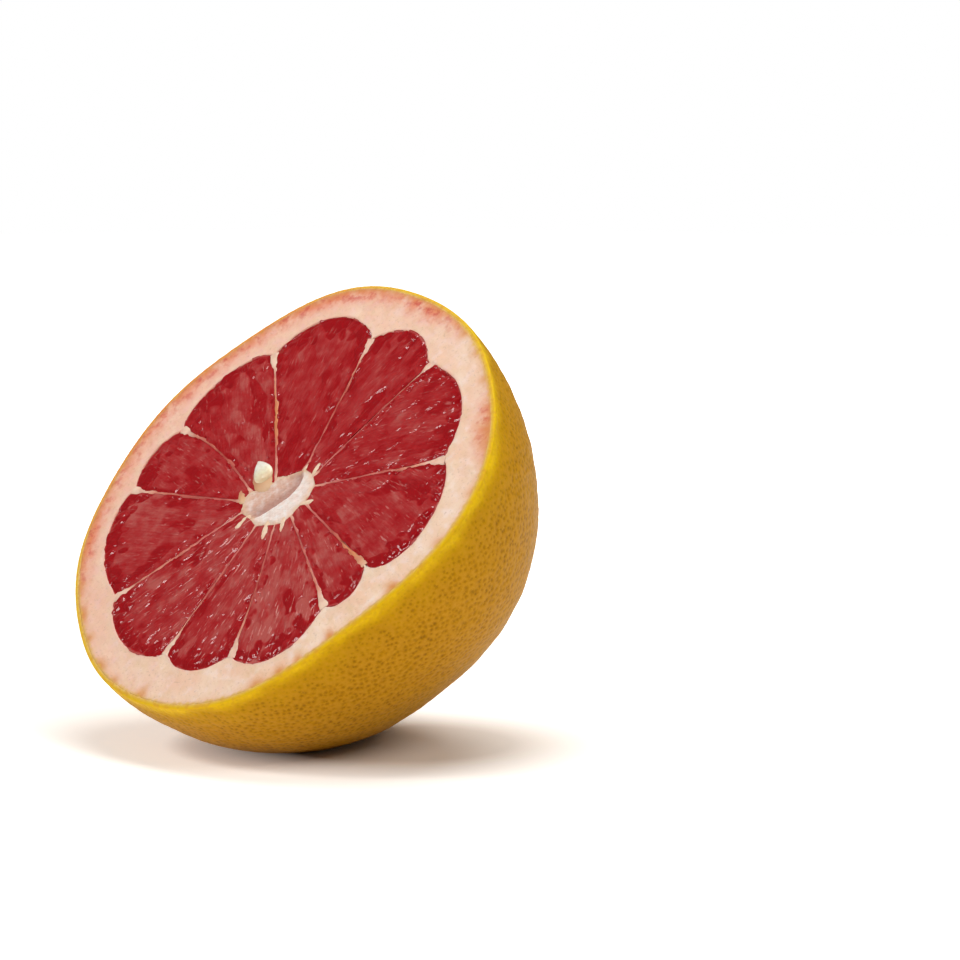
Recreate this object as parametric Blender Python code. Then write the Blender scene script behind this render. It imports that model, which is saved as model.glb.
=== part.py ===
"""A pink grapefruit cut in half, lying on its peel with the cut face leaning up towards -Y.

One solid: peel, pith, segments, core and seeds grew together, so nothing in it comes apart.
Lengths are in millimetres until the last step, which turns them into metres.
The fruit is first shaped with its cut face level, then leaned over and set down on its flat spot.
"""

import math

import bmesh
import bpy
from mathutils import Matrix, Vector

MILLIMETRE = 0.001

# The whole fruit.
RIM_RADIUS = 52.5           # mean radius of the cut edge of the peel
CUT_TO_MIDDLE = 2.233       # the cut misses the middle of the fruit by this much
POLE_DEPTH = 48.42          # from the middle of the fruit to the stem end
STEM_SHIFT = (5.5, -2.26)   # the stem end lies a little to one side
ROUNDNESS = 1.021           # 1 is a plain ellipsoid, more is a slightly more pointed one
RIM_WAVES = (               # the rim isn't a true circle: waves round it, height, angle of a crest
    (1, 0.16, -5.3),
    (2, 0.46, -173.1),
    (3, 0.69, 30.4),
    (4, 0.94, 33.4),
    (5, 0.23, 15.7),
    (6, 0.29, -60.3),
    (7, 0.25, -4.9),
    (8, 0.17, 174.4),
)

# How it lies.
LEAN = 49.49                # degrees between the cut face and the table
REST_DEPTH = 53.2           # from the middle of the cut face down to the table
REST_BULGE = 5.5            # the peel swells this much above the spot it lies on
REST_BULGE_AT = (0.0, 24.0, -50.0)
REST_BULGE_ANGLE = 18.0     # degrees of spread of that swelling
REST_MIDDLE = (3.8, 4.5)    # the middle of the flat spot, beside the middle of the cut face

# The cut face. Every line runs out from the fruit's axis.
AXIS = (1.2, -2.3)
# The walls between the segments, anticlockwise: angle and reach of the outer end,
# angle and reach of the inner end at the core, and how far the wall bows to its left.
WALLS = (
    (-20.9, 35.6, -4.4, 9.0, 0.0),
    (18.2, 40.6, 23.5, 9.8, 0.0),
    (58.9, 41.2, 43.4, 9.8, 0.4),
    (89.1, 40.0, 66.2, 8.2, 0.0),
    (125.6, 42.6, 127.5, 6.2, -0.4),
    (159.6, 41.0, 172.4, 9.2, -1.5),
    (182.9, 42.6, 190.0, 10.1, 0.0),
    (224.0, 40.4, 211.8, 9.2, 0.0),
    (261.6, 38.6, 260.2, 7.4, 0.0),
    (289.1, 38.6, 301.2, 7.8, 0.5),
    (322.0, 37.0, 329.9, 8.6, 0.0),
)
# How far each segment reaches at a quarter, a half and three quarters of its width.
SEGMENT_REACHES = (
    (44.2, 44.7, 44.5),
    (44.0, 45.0, 44.6),
    (44.1, 45.3, 44.8),
    (47.2, 48.8, 48.2),
    (47.0, 46.9, 46.3),
    (44.9, 45.5, 45.2),
    (45.9, 45.0, 43.4),
    (43.3, 43.4, 42.9),
    (41.9, 42.4, 41.6),
    (43.5, 43.5, 41.7),
    (40.5, 40.4, 39.4),
)
CORNER_POWER = 2.7          # how square the outer corners of a segment are
PULP_DROP = 0.8             # the pulp shrinks back this far below the cut
PULP_DOME = 0.45            # and stands up again in the middle of a segment
SAC_RIPPLE = 0.4            # height of the juice sacs, drawn larger than life
WALL_RISE = 0.75            # a cut wall stands up out of the pulp
CORE_DROP = 0.3
CLEFT_ENDS = ((-2.0, -6.0), (5.0, 2.6))
CLEFT_DEPTH = 1.3
CLEFT_WIDTH = 1.0
# Seeds: middle, angle, half length, half width, height above the cut.
SEEDS = (
    (-7.5, 4.0, -37.0, 3.6, 1.9, 1.5),
    (3.7, -11.4, -75.0, 2.1, 0.9, 0.3),
    (-4.3, -9.2, -110.0, 1.3, 0.9, 0.2),
    (7.8, 6.4, 88.0, 1.5, 0.8, 0.3),
    (11.8, -2.0, 20.0, 1.6, 0.7, 0.3),
)

# The stem end.
DIMPLE_RADIUS = 8.0
DIMPLE_DEPTH = 1.3
BUTTON_RADIUS = 2.3
BUTTON_HEIGHT = 0.9

# The mesh: columns run out from the core over the rim and down to the stem end.
COLUMNS_PER_SEGMENT = 12
CORE_RINGS = (0.34, 0.66, 0.9, 1.0)
PULP_RINGS = (0.05, 0.13, 0.23, 0.34, 0.45, 0.56, 0.67, 0.78, 0.88, 0.95, 1.0)
PITH_RINGS = (0.09, 0.5, 0.82)
RIM_ROUND = 0.3
BODY_RINGS = 15
STEM_RINGS = (8.0, 6.0, 4.4, 3.2, 2.6, 2.3, 1.2)

SEGMENTS = len(WALLS)
COLUMNS = SEGMENTS * COLUMNS_PER_SEGMENT


def rim_radius(angle):
    return RIM_RADIUS + sum(
        height * math.cos(count * angle - math.radians(crest))
        for count, height, crest in RIM_WAVES
    )


def on_face(degrees, reach):
    angle = math.radians(degrees)
    return Vector((AXIS[0] + reach * math.cos(angle), AXIS[1] + reach * math.sin(angle)))


def walls_of(segment):
    """The two walls of a segment, with the second one's angles above the first one's."""
    first = WALLS[segment]
    second = WALLS[(segment + 1) % SEGMENTS]
    if second[0] < first[0]:
        second = (second[0] + 360.0, second[1], second[2] + 360.0, second[3], second[4])
    return first, second


def blend(a, b, part):
    return a + (b - a) * part


def outer_point(segment, across):
    """A point on the pith side of a segment: notches at its walls, a rounded lobe between."""
    first, second = walls_of(segment)
    notch = blend(first[1], second[1], across)
    near, middle, far = SEGMENT_REACHES[segment]
    step = max(-1.6, min(1.6, (across - 0.5) / 0.25))
    lobe = middle + (far - near) / 2 * step + ((near + far) / 2 - middle) * step * step
    rise = (1 - abs(2 * across - 1) ** CORNER_POWER) ** (1 / CORNER_POWER)
    return on_face(blend(first[0], second[0], across), notch + (lobe - notch) * rise)


def core_point(segment, across):
    first, second = walls_of(segment)
    return on_face(blend(first[2], second[2], across), blend(first[3], second[3], across))


def pulp_point(segment, across, out):
    """A point of the pulp, from the core (out = 0) to the pith (out = 1)."""
    first, second = walls_of(segment)
    inner = core_point(segment, across)
    outer = outer_point(segment, across)
    left = Vector((inner.y - outer.y, outer.x - inner.x)).normalized()
    bow = blend(first[4], second[4], across) * math.sin(math.pi * out)
    return inner.lerp(outer, out) + left * bow


def smooth(part):
    part = max(0.0, min(1.0, part))
    return part * part * (3 - 2 * part)


def seed_height(x, y):
    """How high a seed stands over the cut at this point, or None beside them all."""
    highest = None
    for middle_x, middle_y, turn, length, width, height in SEEDS:
        angle = math.radians(turn)
        along = (x - middle_x) * math.cos(angle) + (y - middle_y) * math.sin(angle)
        beside = (y - middle_y) * math.cos(angle) - (x - middle_x) * math.sin(angle)
        inside = 1 - (along / length) ** 2 - (beside / width) ** 2
        if inside > 0:
            top = blend(-PULP_DROP, height, math.sqrt(inside))
            highest = top if highest is None else max(highest, top)
    return highest


def cleft(x, y):
    """Depth of the split that runs across the core."""
    start = Vector(CLEFT_ENDS[0])
    run = Vector(CLEFT_ENDS[1]) - start
    part = max(0.0, min(1.0, (Vector((x, y)) - start).dot(run) / run.length_squared))
    away = (Vector((x, y)) - start - run * part).length
    return CLEFT_DEPTH * math.exp(-((away / CLEFT_WIDTH) ** 2))


def pulp_height(segment, across, out, x, y):
    """The pulp: a drop beside the pith, a low dome, ripples of juice sacs, a raised wall."""
    edge = min(1.0, 4 * out, 6 * (1 - out))
    dome = PULP_DOME * math.sin(math.pi * across) * edge
    reach = math.hypot(x - AXIS[0], y - AXIS[1])
    column = across * COLUMNS_PER_SEGMENT
    ripple = math.sin(1.9 * column + 1.3 * segment + 0.05 * reach)
    ripple += 0.7 * math.sin(1.1 * column - 0.42 * reach + 2.1 * segment)
    ripple *= SAC_RIPPLE * 0.5 * edge * smooth(5 * across) * smooth(5 - 5 * across)
    beside_wall = min(across, 1 - across)
    wall = WALL_RISE * max(0.0, 1 - beside_wall / 0.03)
    return min(0.0, -PULP_DROP + dome + ripple + wall)


def body_point(angle, fall):
    """The peel below the cut: fall is -1 at the cut and turns to pi / 2 at the stem end."""
    share = max(0.0, math.cos(fall))
    start = math.cos(math.asin(CUT_TO_MIDDLE / RIM_RADIUS))
    radius = (RIM_RADIUS + (rim_radius(angle) - RIM_RADIUS) * share) / start
    side = radius * share ** ROUNDNESS
    down = math.copysign(abs(math.sin(fall)) ** ROUNDNESS, math.sin(fall))
    lean = max(0.0, down)
    x = side * math.cos(angle) + STEM_SHIFT[0] * lean
    y = side * math.sin(angle) + STEM_SHIFT[1] * lean
    return Vector((x, y, -CUT_TO_MIDDLE - POLE_DEPTH * down))


def dimpled(point, angle):
    """The dimple at the stem end, and the button that the stalk leaves in it."""
    away = math.hypot(point.x - STEM_SHIFT[0], point.y - STEM_SHIFT[1])
    if point.z > -POLE_DEPTH / 2 or away > DIMPLE_RADIUS:
        return point
    rise = DIMPLE_DEPTH * smooth(1 - away / DIMPLE_RADIUS)
    edge = BUTTON_RADIUS + 0.12 * math.cos(5 * angle)
    if away < edge + 0.1:
        rise -= BUTTON_HEIGHT * (1 - 0.35 * (1 - away / edge) ** 2)
    return Vector((point.x, point.y, point.z + rise))


def swollen(point, bulge_way):
    """The low swelling that the fruit lies on, so that its weight hangs over its flat spot."""
    from_middle = point + Vector((0, 0, CUT_TO_MIDDLE))
    turn = math.degrees(from_middle.angle(bulge_way)) / REST_BULGE_ANGLE
    swell = REST_BULGE * math.exp(-turn * turn) * smooth(-point.z / 12)
    return point + from_middle.normalized() * swell


def column_place(column):
    """A column's segment and its place across it, with the columns closer beside a wall."""
    segment, step = divmod(column, COLUMNS_PER_SEGMENT)
    part = step / COLUMNS_PER_SEGMENT
    return segment, part - 0.5 * math.sin(2 * math.pi * part) / (2 * math.pi)


def column_points(column):
    """One column of points, from the core outwards, over the rim and down to the stem end."""
    segment, across = column_place(column)
    points = []
    core = core_point(segment, across)
    middle = Vector(AXIS)
    for part in CORE_RINGS:
        spot = middle.lerp(core, part)
        points.append((spot.x, spot.y, -CORE_DROP - cleft(spot.x, spot.y)))
    for out in PULP_RINGS:
        spot = pulp_point(segment, across, out)
        height = pulp_height(segment, across, out, spot.x, spot.y)
        points.append((spot.x, spot.y, height))
    edge = outer_point(segment, across)
    angle = math.atan2(edge.y, edge.x)
    rim = Vector((math.cos(angle), math.sin(angle))) * (rim_radius(angle) - RIM_ROUND)
    for part in PITH_RINGS:
        spot = edge.lerp(rim, part)
        points.append((spot.x, spot.y, -0.15 * math.sin(math.pi * part)))
    points.append((rim.x, rim.y, 0.0))
    first = -math.asin((CUT_TO_MIDDLE - RIM_ROUND) / RIM_RADIUS)
    last = math.acos(STEM_RINGS[0] / RIM_RADIUS)
    falls = [first + (last - first) * ring / BODY_RINGS for ring in range(BODY_RINGS)]
    falls += [math.acos(away / RIM_RADIUS) for away in STEM_RINGS]
    points += [dimpled(body_point(angle, fall), angle) for fall in falls]
    for index, (x, y, z) in enumerate(points):
        seed = seed_height(x, y) if z > -5 else None
        if seed is not None:
            points[index] = (x, y, max(z, seed))
    return points


def shape_fruit(mesh):
    """Bends the rings and columns of a plain ball into the half fruit."""
    columns = [column_points(column) for column in range(COLUMNS)]
    rings = len(columns[0])
    bmesh.ops.create_uvsphere(mesh, u_segments=COLUMNS, v_segments=rings + 1, radius=1.0)
    bulge_way = LAID.transposed() @ Vector(REST_BULGE_AT)
    for corner in mesh.verts:
        ring = round((0.5 - math.asin(max(-1, min(1, corner.co.z))) / math.pi) * (rings + 1))
        if ring == 0:
            spot = Vector((AXIS[0], AXIS[1], -CORE_DROP - cleft(*AXIS)))
        elif ring > rings:
            spot = dimpled(body_point(0.0, math.pi / 2), 0.0)
        else:
            turn = math.atan2(corner.co.y, corner.co.x) / (2 * math.pi)
            spot = Vector(columns[round(turn * COLUMNS) % COLUMNS][ring - 1])
        if spot.z < -1:
            spot = swollen(spot, bulge_way)
        corner.co = LAID @ spot + Vector((-REST_MIDDLE[0], -REST_MIDDLE[1], REST_DEPTH))


def cut_flat_spot(mesh):
    """Takes off what would lie below the table, which leaves the flat spot."""
    everything = mesh.verts[:] + mesh.edges[:] + mesh.faces[:]
    bmesh.ops.bisect_plane(
        mesh, geom=everything, dist=0.01, plane_co=(0, 0, 0), plane_no=(0, 0, 1), clear_inner=True
    )
    border = [edge for edge in mesh.edges if edge.is_boundary]
    corners = list({corner for edge in border for corner in edge.verts})
    for corner in corners:
        corner.co.z = 0.0
    bmesh.ops.remove_doubles(mesh, verts=corners, dist=0.05)
    border = [edge for edge in mesh.edges if edge.is_boundary]
    flat = bmesh.ops.holes_fill(mesh, edges=border)["faces"]
    spots = [corner.co for face in flat for corner in face.verts]
    wide = [min(spot.x for spot in spots), max(spot.x for spot in spots)]
    deep = [min(spot.y for spot in spots), max(spot.y for spot in spots)]
    print("flat spot from", wide[0], deep[0], "to", wide[1], deep[1])
    return flat


def peel_material():
    material = bpy.data.materials.new("grapefruit peel")
    material.use_nodes = True
    surface = material.node_tree.nodes["Principled BSDF"]
    surface.inputs["Base Color"].default_value = (0.60, 0.37, 0.05, 1)
    surface.inputs["Roughness"].default_value = 0.42
    surface.inputs["Metallic"].default_value = 0.0
    return material


for old in list(bpy.data.objects):
    bpy.data.objects.remove(old, do_unlink=True)

# The cut face leans: its x axis stays level, its y axis climbs, its normal leans towards -Y.
LAID = Matrix.Rotation(math.radians(LEAN), 3, "X")

mesh = bmesh.new()
shape_fruit(mesh)
flat = cut_flat_spot(mesh)
for face in mesh.faces:
    face.smooth = face not in flat
bmesh.ops.recalc_face_normals(mesh, faces=mesh.faces)
bmesh.ops.scale(mesh, vec=(MILLIMETRE, MILLIMETRE, MILLIMETRE), verts=mesh.verts)
data = bpy.data.meshes.new("grapefruit_half")
mesh.to_mesh(data)
mesh.free()
data.materials.append(peel_material())
grapefruit_half = bpy.data.objects.new("grapefruit_half", data)
collection = bpy.data.collections.new("grapefruit half")
bpy.context.scene.collection.children.link(collection)
collection.objects.link(grapefruit_half)
print(len(data.polygons), "faces, face middle at", [-REST_MIDDLE[0], -REST_MIDDLE[1], REST_DEPTH])
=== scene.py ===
# %% [markdown]
# # Half a pink grapefruit
#
# This lesson dresses a plain solid of a cut grapefruit so that it looks like the real fruit.
# The solid gives the size and the lean. Every visible surface is made here: the pitted peel,
# the pale pith, the eleven segments of juice sacs, the walls between them, the core and a seed.
# The work goes from the outside of the fruit inwards, and ends with light and a camera.

# %% Load the solid
import math

import bpy
import numpy as np
from mathutils import Matrix, Vector
from mathutils.kdtree import KDTree


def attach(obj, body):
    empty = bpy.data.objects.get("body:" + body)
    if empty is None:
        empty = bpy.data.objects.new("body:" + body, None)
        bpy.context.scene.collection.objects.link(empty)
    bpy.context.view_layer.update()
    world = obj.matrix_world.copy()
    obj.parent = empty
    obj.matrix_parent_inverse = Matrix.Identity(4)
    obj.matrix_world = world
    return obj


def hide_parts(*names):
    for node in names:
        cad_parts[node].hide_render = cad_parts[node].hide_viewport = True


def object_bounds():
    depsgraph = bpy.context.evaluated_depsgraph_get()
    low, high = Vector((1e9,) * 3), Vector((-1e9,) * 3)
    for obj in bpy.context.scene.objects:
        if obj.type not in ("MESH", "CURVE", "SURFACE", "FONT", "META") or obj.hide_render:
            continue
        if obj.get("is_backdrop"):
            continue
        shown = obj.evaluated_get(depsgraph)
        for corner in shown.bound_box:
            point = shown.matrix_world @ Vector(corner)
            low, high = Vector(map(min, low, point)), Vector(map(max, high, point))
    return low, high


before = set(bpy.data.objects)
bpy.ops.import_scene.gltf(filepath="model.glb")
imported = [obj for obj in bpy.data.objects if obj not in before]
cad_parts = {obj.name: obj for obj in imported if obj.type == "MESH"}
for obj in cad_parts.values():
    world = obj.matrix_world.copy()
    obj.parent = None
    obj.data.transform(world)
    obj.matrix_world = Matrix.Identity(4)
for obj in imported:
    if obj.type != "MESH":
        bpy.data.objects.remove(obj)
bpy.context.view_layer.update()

# %% [markdown]
# The fruit is described lying level, with its cut face at height zero and its stem end below,
# in millimetres. That makes each rule short: a radius on the face, a depth under it. Only the
# last step leans it over and turns millimetres into metres. The same few sizes shaped the solid.

# %% Sizes of the fruit
MM = 0.001
RIM_RADIUS = 52.5           # mean radius of the cut edge
CUT_TO_MIDDLE = 2.233       # the cut misses the fruit's middle by this much
POLE_DEPTH = 48.42          # from the middle down to the stem end
STEM_SHIFT = (5.5, -2.26)   # the stem end lies a little to one side
ROUNDNESS = 1.021
RIM_WAVES = (               # waves round the rim: how many, height, angle of a crest
    (1, 0.16, -5.3),
    (2, 0.46, -173.1),
    (3, 0.69, 30.4),
    (4, 0.94, 33.4),
    (5, 0.23, 15.7),
    (6, 0.29, -60.3),
    (7, 0.25, -4.9),
    (8, 0.17, 174.4),
)
LEAN = 49.49                # degrees between the cut face and the table
FACE_MIDDLE = np.array((-3.8, -4.5, 53.2))
REST_BULGE = 5.5
REST_BULGE_AT = (0.0, 24.0, -50.0)
REST_BULGE_ANGLE = 18.0

lean = np.array(Matrix.Rotation(math.radians(LEAN), 3, "X"))
print("the cut face looks along", np.round(lean[:, 2], 3))


def smooth(part):
    """0 below 0, 1 above 1, and a soft step between."""
    part = np.clip(part, 0, 1)
    return part * part * (3 - 2 * part)


def rim_radius(angle):
    return RIM_RADIUS + sum(
        height * np.cos(count * angle - math.radians(crest))
        for count, height, crest in RIM_WAVES
    )


# %% [markdown]
# A cut grapefruit shows lines that all start at the fruit's axis. Each wall between two segments
# is one row here: the angle and reach of its outer end, of its inner end, and how far it bows.
# The pith side of a segment is a rounded lobe between two notches, so three reaches across each
# segment are enough to draw it, and every piece of the face can share the same outline. The
# core's outline is an uneven oval, given as angles and reaches from the axis.

# %% The lines of the cut face
AXIS = np.array((1.2, -2.3))
WALLS = (
    (-20.9, 35.6, -4.4, 9.0, 0.0),
    (18.2, 40.6, 23.5, 9.8, 0.0),
    (58.9, 41.2, 43.4, 9.8, 0.4),
    (89.1, 40.0, 66.2, 8.2, 0.0),
    (125.6, 42.6, 127.5, 6.2, -0.4),
    (159.6, 41.0, 172.4, 9.2, -1.5),
    (182.9, 42.6, 190.0, 10.1, 0.0),
    (224.0, 40.4, 211.8, 9.2, 0.0),
    (261.6, 38.6, 260.2, 7.4, 0.0),
    (289.1, 38.6, 301.2, 7.8, 0.5),
    (322.0, 37.0, 329.9, 8.6, 0.0),
)
SEGMENT_REACHES = (
    (44.2, 44.7, 44.5),
    (44.0, 45.0, 44.6),
    (44.1, 45.3, 44.8),
    (47.2, 48.8, 48.2),
    (47.0, 46.9, 46.3),
    (44.9, 45.5, 45.2),
    (45.9, 45.0, 43.4),
    (43.3, 43.4, 42.9),
    (41.9, 42.4, 41.6),
    (43.5, 43.5, 41.7),
    (40.5, 40.4, 39.4),
)
CORNER_POWER = 2.7
SEGMENTS = len(WALLS)
CORE_EDGE = (
    (0, 8.6), (13, 9.1), (24, 9.7), (39, 9.2), (50, 8.9), (66, 8.2), (77, 6.9), (95, 5.5),
    (123, 5.8), (132, 4.8), (154, 5.3), (171, 6.9), (176, 8.8), (189, 9.0), (203, 8.9),
    (213, 8.6), (227, 7.4), (245, 7.0), (261, 7.4), (280, 6.9), (300, 7.5), (315, 8.2),
    (332, 8.1), (347, 7.7),
)


def on_face(degrees, reach):
    angle = np.radians(degrees)
    return AXIS + np.stack([reach * np.cos(angle), reach * np.sin(angle)], axis=-1)


def blend(a, b, part):
    return a + (b - a) * part


def walls_of(segment):
    first = WALLS[segment % SEGMENTS]
    second = WALLS[(segment + 1) % SEGMENTS]
    if second[0] < first[0]:
        second = (second[0] + 360, second[1], second[2] + 360, second[3], second[4])
    return first, second


def outer_point(segment, across):
    """The edge between a segment and the pith; across runs from one wall (0) to the next (1)."""
    first, second = walls_of(segment)
    notch = blend(first[1], second[1], across)
    near, middle, far = SEGMENT_REACHES[segment % SEGMENTS]
    step = np.clip((across - 0.5) / 0.25, -1.6, 1.6)
    lobe = middle + (far - near) / 2 * step + ((near + far) / 2 - middle) * step * step
    rise = (1 - np.abs(2 * across - 1) ** CORNER_POWER) ** (1 / CORNER_POWER)
    return on_face(blend(first[0], second[0], across), notch + (lobe - notch) * rise)


def core_reach(degrees):
    return np.interp(degrees, *zip(*CORE_EDGE), period=360)


def inside_core(places):
    """How far inside the core's outline places on the cut face lie."""
    places = places - AXIS
    way = np.degrees(np.arctan2(places[..., 1], places[..., 0]))
    return core_reach(way) - np.linalg.norm(places, axis=-1)


def core_point(segment, across):
    first, second = walls_of(segment)
    return on_face(blend(first[2], second[2], across), blend(first[3], second[3], across))


def pulp_point(segment, across, out):
    """A place in a segment: across from wall to wall, out from the core (0) to the pith (1)."""
    first, second = walls_of(segment)
    inner, outer = core_point(segment, across), outer_point(segment, across)
    run = outer - inner
    left = np.stack([-run[..., 1], run[..., 0]], axis=-1)
    left = left / np.linalg.norm(left, axis=-1, keepdims=True)
    bow = blend(first[4], second[4], across) * np.sin(math.pi * out)
    return inner + run * out[..., None] + left * bow[..., None]


for name, count in (("segments", SEGMENTS), ("points on each outline", 3 * SEGMENTS + SEGMENTS)):
    print(count, name)

# %% [markdown]
# Every piece is a grid of points that a rule has bent, so one helper makes them all: it takes
# rows and columns of points, joins them with four-sided faces, leans the piece over and adds
# named values to its points. A material can read such a value back with an Attribute node, so
# that colour and shape come from the same rule and never drift apart.

# %% Helpers for meshes
def laid(points):
    """Points of the level fruit, in millimetres, as places over the table in metres."""
    return (np.asarray(points) @ lean.T + FACE_MIDDLE) * MM


def swollen(points):
    """Adds the low swelling that the fruit lies on."""
    way = lean.T @ np.array(REST_BULGE_AT)
    way = way / np.linalg.norm(way)
    from_middle = points + np.array((0, 0, CUT_TO_MIDDLE))
    length = np.linalg.norm(from_middle, axis=-1, keepdims=True)
    cosine = np.clip(from_middle / length @ way, -1, 1)[..., None]
    turn = np.degrees(np.arccos(cosine)) / REST_BULGE_ANGLE
    swell = REST_BULGE * np.exp(-turn * turn) * smooth(-points[..., 2:] / 12)
    return points + from_middle / length * swell


def grid_faces(rows, columns, around=False, first=0):
    """Four-sided faces of a grid of points numbered row by row; around joins the last column."""
    last = columns if around else columns - 1
    row, column = np.meshgrid(np.arange(rows - 1), np.arange(last), indexing="ij")
    following = (column + 1) % columns
    corners = [row * columns + column, row * columns + following]
    corners += [(row + 1) * columns + following, (row + 1) * columns + column]
    return (np.stack(corners, axis=-1).reshape(-1, 4) + first).tolist()


def make_piece(name, points, faces, values, material):
    """A named piece on the fruit from level points, with its values and its material."""
    data = bpy.data.meshes.new(name)
    data.from_pydata(laid(points), [], faces)
    for value_name, value in values.items():
        kind, field = ("FLOAT", "value") if np.ndim(value) == 1 else ("FLOAT_VECTOR", "vector")
        domain = "POINT" if len(value) == len(points) else "CORNER"
        layer = data.attributes.new(value_name, kind, domain)
        layer.data.foreach_set(field, np.asarray(value, np.float32).ravel())
    data.shade_smooth()
    data.materials.append(material)
    data.validate()
    piece = bpy.data.objects.new(name, data)
    bpy.context.scene.collection.objects.link(piece)
    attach(piece, "root")
    print(name, len(data.vertices), "points")
    return piece


def wander(places, size, seed):
    """Smooth random ups and downs, about -1 to 1, whose bumps are about size apart."""
    draw = np.random.default_rng(seed)
    places = np.asarray(places, float)
    total = np.zeros(places.shape[:-1])
    for _ in range(7):
        way = draw.normal(size=places.shape[-1])
        way = way / np.linalg.norm(way) * 2 * math.pi / size * draw.uniform(0.6, 1.5)
        total += np.sin(places @ way + draw.uniform(0, 2 * math.pi))
    return total / 3.5


# %% [markdown]
# Colours are written as the hex values that a colour picker reads off a screen. Screens store
# brightness on a curve, and light adds up without it, so one function undoes the curve. Another
# adds a shader node, sets what is fixed on it and links what isn't.

# %% Helpers for materials
def colour(code):
    """A hex colour as linear red, green, blue and alpha."""
    parts = [int(code[i:i + 2], 16) / 255 for i in (1, 3, 5)]
    bent = [p / 12.92 if p <= 0.04045 else ((p + 0.055) / 1.055) ** 2.4 for p in parts]
    return (*bent, 1.0)


def add(material, kind, inputs=None, **settings):
    """Adds a shader node; an input is a fixed value or another node's output."""
    node = material.node_tree.nodes.new("ShaderNode" + kind)
    for name, value in settings.items():
        setattr(node, name, value)
    for socket, value in (inputs or {}).items():
        if isinstance(value, bpy.types.NodeSocket):
            material.node_tree.links.new(value, node.inputs[socket])
        else:
            node.inputs[socket].default_value = value
    return node


def new_material(name, **fixed):
    """A material with one Principled shader; fixed gives the values of its own sockets."""
    material = bpy.data.materials.new(name)
    material.use_nodes = True
    surface = material.node_tree.nodes["Principled BSDF"]
    for socket, value in fixed.items():
        surface.inputs[socket.replace("_", " ")].default_value = value
    return material, surface


def link(material, output, surface, socket):
    material.node_tree.links.new(output, surface.inputs[socket])


def value_of(material, name):
    return add(material, "Attribute", attribute_name=name).outputs["Fac"]


def place_of(material, name="place"):
    return add(material, "Attribute", attribute_name=name).outputs["Vector"]


def ramp(material, factor, stops):
    """Colours along a factor: stops are (position, hex colour)."""
    node = add(material, "ValToRGB", {"Fac": factor})
    band = node.color_ramp
    while len(band.elements) < len(stops):
        band.elements.new(0.5)
    for element, (position, code) in zip(band.elements, stops):
        element.position = position
        element.color = colour(code)
    return node.outputs["Color"]


def mix(material, factor, first, second, how="MIX"):
    node = add(material, "Mix", data_type="RGBA", blend_type=how)
    for socket, value in (("Factor", factor), ("A", first), ("B", second)):
        index = {"Factor": 0, "A": 6, "B": 7}[socket]
        if isinstance(value, bpy.types.NodeSocket):
            material.node_tree.links.new(value, node.inputs[index])
        else:
            node.inputs[index].default_value = value
    return node.outputs[2]


def reach_of(material, value, low, high, to_low=0.0, to_high=1.0):
    """Stretches a value so that low to high becomes to_low to to_high, and clips it there."""
    node = add(
        material, "MapRange",
        {"Value": value, "From Min": low, "From Max": high, "To Min": to_low, "To Max": to_high},
    )
    return node.outputs["Result"]


def noise(material, vector, size, detail=3.0, roughness=0.55):
    """Noise whose bumps are about size millimetres, read from places in millimetres."""
    node = add(
        material, "TexNoise",
        {"Vector": vector, "Scale": 1 / size, "Detail": detail, "Roughness": roughness},
    )
    return node.outputs["Fac"]


# %% [markdown]
# ## Peel
#
# The peel is the fruit's coloured skin, about a millimetre thick. It is full of oil glands about
# a millimetre and a quarter apart: each shows as a small olive dot at the bottom of a shallow pit.
# The pits could be bump alone, but then the outline of the fruit would stay too clean, so the
# pits are in the mesh. Points on a spiral over the fruit, pushed about a little, give glands that
# are evenly spread without standing in rows. The distance from each mesh point to its nearest
# gland shapes the pit. Each face also carries the way from its own gland to each of its corners,
# so that the material can draw a dot that is round and much finer than the mesh.

# %% Glands of the peel
GLAND_SPACING = 1.3
PEEL_COLUMNS = 1080         # about 0.3 mm apart at the rim
PEEL_ROWS = 280
PEEL_THICKNESS = 1.1
RIM_ROUND = 0.25
DIMPLE_RADIUS = 8.0
DIMPLE_DEPTH = 1.3
PIT_DEPTH = 0.09
PIT_RADIUS = 0.5


def body_point(angle, fall):
    """The peel below the cut: fall grows from below zero at the cut to a quarter turn."""
    share = np.maximum(0, np.cos(fall))
    start = math.cos(math.asin(CUT_TO_MIDDLE / RIM_RADIUS))
    radius = (RIM_RADIUS + (rim_radius(angle) - RIM_RADIUS) * share) / start
    side = radius * share ** ROUNDNESS
    down = np.sign(np.sin(fall)) * np.abs(np.sin(fall)) ** ROUNDNESS
    lean_out = np.maximum(0, down)
    x = side * np.cos(angle) + STEM_SHIFT[0] * lean_out
    y = side * np.sin(angle) + STEM_SHIFT[1] * lean_out
    z = -CUT_TO_MIDDLE - POLE_DEPTH * down
    away = np.hypot(x - STEM_SHIFT[0], y - STEM_SHIFT[1])
    low = (z < -POLE_DEPTH / 2) * (away < DIMPLE_RADIUS)
    z = z + low * DIMPLE_DEPTH * smooth(1 - away / DIMPLE_RADIUS)
    return swollen(np.stack(np.broadcast_arrays(x, y, z), axis=-1))


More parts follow.
